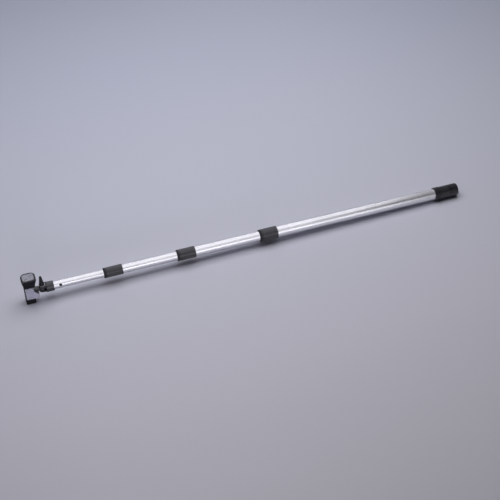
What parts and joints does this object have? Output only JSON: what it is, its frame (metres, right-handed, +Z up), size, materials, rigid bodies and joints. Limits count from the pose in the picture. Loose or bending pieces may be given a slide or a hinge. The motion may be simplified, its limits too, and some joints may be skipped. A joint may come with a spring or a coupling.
{
  "type": "pole drywall sander",
  "caption": "Telescopic aluminium pole with twist-lock collars and a small swivelling head that holds a foam sanding block between a shoe and a sprung hood.",
  "frame": {"origin": "centre of the end cap's flat end face, on the pole's axis", "axes": "+X along the pole's axis from the end cap to the head; +Z up as the pole lies on its head's shoe and its end cap, and along the hinge axis of the head"},
  "size_m": [1.1248, 0.0338, 0.0775],
  "materials": {
    "satin_aluminium": "satin anodised, drawn tube",
    "nylon": "moulded",
    "collar_black": "satin moulded, ribbed",
    "rubber_black": "matt",
    "cap_black": "semi-gloss moulded",
    "fork_black": "glass-filled, fine grain",
    "knob_black": "fine grain",
    "hood_black": "gloss",
    "cover_gloss": "polished",
    "shoe_black": "fine grain",
    "foam": "open-cell foam",
    "abrasive": "coated grit",
    "steel": "zinc plated",
    "spring_steel": "oiled",
    "brass": "turned"
  },
  "bodies": {
    "base_section": {"base_tube": "satin_aluminium", "end_cap": "cap_black", "end_plug": "nylon", "base_ferrule": "nylon", "base_collet": "nylon"},
    "base_lock": {"base_collar": "collar_black", "base_wiper_ring": "rubber_black"},
    "second_section": {"second_tube": "satin_aluminium", "second_tail_bush": "nylon", "second_ferrule": "nylon", "second_collet": "nylon"},
    "second_lock": {"second_collar": "collar_black", "second_wiper_ring": "rubber_black"},
    "third_section": {"third_tube": "satin_aluminium", "third_tail_bush": "nylon", "third_ferrule": "nylon", "third_collet": "nylon"},
    "third_lock": {"third_collar": "collar_black", "third_wiper_ring": "rubber_black"},
    "tip_section": {"tip_tube": "satin_aluminium", "tip_tail_bush": "nylon", "head_socket": "fork_black", "socket_rivet": "fork_black", "hinge_bolt": "steel", "hinge_washers": "nylon", "knob_washer": "steel", "button_spring": "spring_steel"},
    "button": {"snap_button": "knob_black"},
    "knob": {"hinge_knob": "knob_black", "knob_insert": "brass"},
    "head": {"head_core": "fork_black", "foam_block": "foam", "abrasive_sheet": "abrasive", "base_shoe": "shoe_black", "shoe_screws": "steel", "stem_washer": "steel", "stem_screw": "steel", "hood_spring": "spring_steel"},
    "hood": {"hood_jaw": "hood_black", "hood_cover": "cover_gloss"}
  },
  "joints": [
    {"name": "second_slide", "type": "slide", "parent": "base_section", "child": "second_section", "axis": [1, 0, 0], "range_m": [-0.16, 0.25]},
    {"name": "third_slide", "type": "slide", "parent": "second_section", "child": "third_section", "axis": [1, 0, 0], "range_m": [-0.13, 0.26]},
    {"name": "tip_slide", "type": "slide", "parent": "third_section", "child": "tip_section", "axis": [1, 0, 0], "range_m": [-0.098, 0.26]},
    {"name": "base_lock_turn", "type": "hinge", "parent": "base_section", "child": "base_lock", "pos_m": [0.513, 0, 0], "axis": [1, 0, 0], "range_deg": [0, 150]},
    {"name": "second_lock_turn", "type": "hinge", "parent": "second_section", "child": "second_lock", "pos_m": [0.725, 0, 0], "axis": [1, 0, 0], "range_deg": [0, 150]},
    {"name": "third_lock_turn", "type": "hinge", "parent": "third_section", "child": "third_lock", "pos_m": [0.906, 0, 0], "axis": [1, 0, 0], "range_deg": [0, 150]},
    {"name": "head_swivel", "type": "hinge", "parent": "tip_section", "child": "head", "pos_m": [1.0796, 0, 0], "axis": [0, 0, 1], "range_deg": [-80, 80]},
    {"name": "knob_turn", "type": "hinge", "parent": "tip_section", "child": "knob", "pos_m": [1.0796, 0, 0.0127], "axis": [0, 0, 1], "range_deg": [0, 270]},
    {"name": "button_press", "type": "slide", "parent": "tip_section", "child": "button", "axis": [0, -0.866, -0.5], "range_m": [0, 0.0024], "stiffness_N_per_m": 500, "springref_m": -0.001, "deforming": ["button_spring"]},
    {"name": "hood_lift", "type": "slide", "parent": "head", "child": "hood", "axis": [0, 0, 1], "range_m": [0, 0.006], "stiffness_N_per_m": 800, "springref_m": -0.004, "deforming": ["hood_spring"]}
  ]
}
